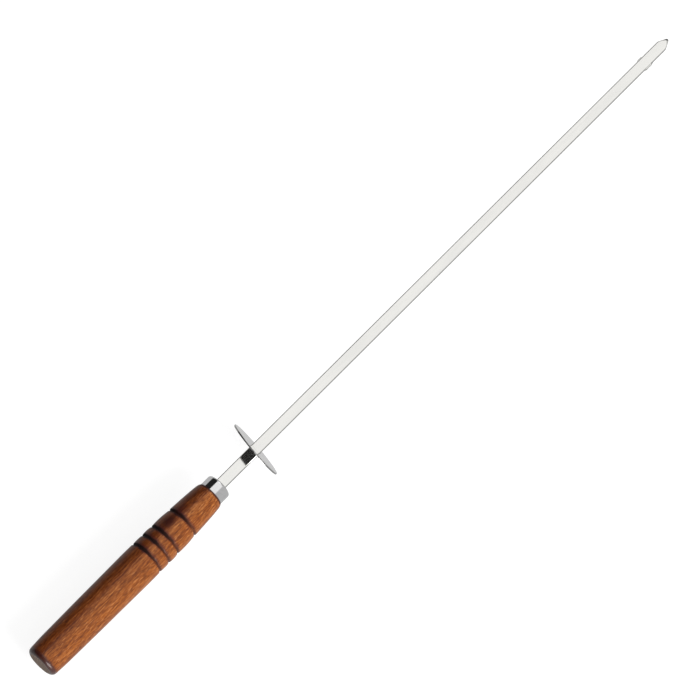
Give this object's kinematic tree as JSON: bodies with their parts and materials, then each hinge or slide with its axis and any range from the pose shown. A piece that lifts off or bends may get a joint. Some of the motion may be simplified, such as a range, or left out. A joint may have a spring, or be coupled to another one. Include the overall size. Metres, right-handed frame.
{
  "type": "flat grilling skewer with push-off disc",
  "caption": "Flat steel grilling skewer with a short ground point, stop ears, a loose sliding push-off disc, a drawn ferrule and a turned wooden handle with burned grooves.",
  "frame": {"origin": "centre of the handle's flat butt face, on the skewer's centreline", "axes": "+X along the skewer from butt to point; +Z square to the flat of the blade; +Y across the blade"},
  "size_m": [0.4572, 0.0312, 0.0296],
  "materials": {
    "blade_steel": "mirror-polished stainless strip",
    "disc_steel": "mirror-polished stamped stainless sheet",
    "ferrule_steel": "polished drawn stainless cup",
    "handle_wood": "reddish-brown hardwood, glossy lacquer, burned grooves",
    "adhesive": "cured epoxy"
  },
  "bodies": {
    "skewer": {"blade": "blade_steel", "ferrule": "ferrule_steel", "handle": "handle_wood", "tang_adhesive": "adhesive"},
    "disc": {"pusher_disc": "disc_steel"}
  },
  "joints": [
    {"name": "disc_slide", "type": "slide", "parent": "skewer", "child": "disc", "axis": [1, 0, 0], "range_m": [-0.0226, 0.2855]}
  ]
}
